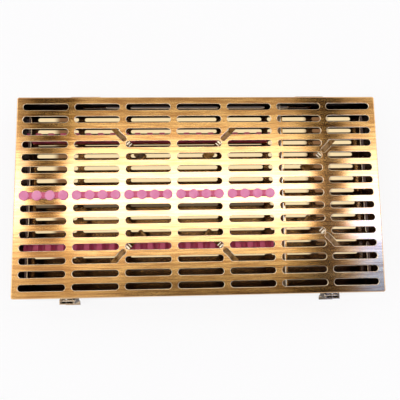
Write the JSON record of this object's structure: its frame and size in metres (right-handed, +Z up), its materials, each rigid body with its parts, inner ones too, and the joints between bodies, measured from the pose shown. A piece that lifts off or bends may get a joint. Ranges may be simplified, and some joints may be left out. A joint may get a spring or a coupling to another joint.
{
  "type": "instrument cassette",
  "caption": "Flat slotted sheet steel cassette with a hinged lid, silicone instrument rails, a silicone hold-down strip, a divider and front latches.",
  "frame": {"origin": "centre of the bounding box on the surface that the cassette stands on", "axes": "+X to the right seen from the latch side, +Y towards the hinges, +Z up through the lid"},
  "size_m": [0.35, 0.2058, 0.0334],
  "materials": {
    "gold_steel": "gold coated, brushed along X",
    "spring_steel": "polished",
    "pink_silicone": "satin"
  },
  "bodies": {
    "base": {"base_tray": "gold_steel", "rail_channel_rear": "gold_steel", "rail_channel_front": "gold_steel", "rail_rear": "pink_silicone", "rail_front": "pink_silicone", "divider": "gold_steel", "hinge_base_left": "gold_steel", "hinge_base_right": "gold_steel", "hinge_pin_left": "spring_steel", "hinge_pin_right": "spring_steel", "strike_left": "gold_steel", "strike_right": "gold_steel"},
    "lid": {"lid_shell": "gold_steel", "holddown_strip": "pink_silicone", "spring_clip_1": "spring_steel", "spring_clip_2": "spring_steel", "spring_clip_3": "spring_steel", "spring_clip_4": "spring_steel", "spring_clip_5": "spring_steel", "spring_clip_6": "spring_steel", "hinge_lid_left": "gold_steel", "hinge_lid_right": "gold_steel", "latch_bracket_left": "gold_steel", "latch_bracket_right": "gold_steel", "latch_pin_left": "spring_steel", "latch_pin_right": "spring_steel"},
    "latch_left": {"latch_left": "gold_steel"},
    "latch_right": {"latch_right": "gold_steel"}
  },
  "joints": [
    {"name": "lid_hinge", "type": "hinge", "parent": "base", "child": "lid", "pos_m": [0, 0.1007, 0.018], "axis": [-1, 0, 0], "range_deg": [0, 180]},
    {"name": "latch_left_pivot", "type": "hinge", "parent": "lid", "child": "latch_left", "pos_m": [-0.125, -0.0957, 0.026], "axis": [-1, 0, 0], "range_deg": [0, 80]},
    {"name": "latch_right_pivot", "type": "hinge", "parent": "lid", "child": "latch_right", "pos_m": [0.125, -0.0957, 0.026], "axis": [-1, 0, 0], "range_deg": [0, 80]}
  ]
}
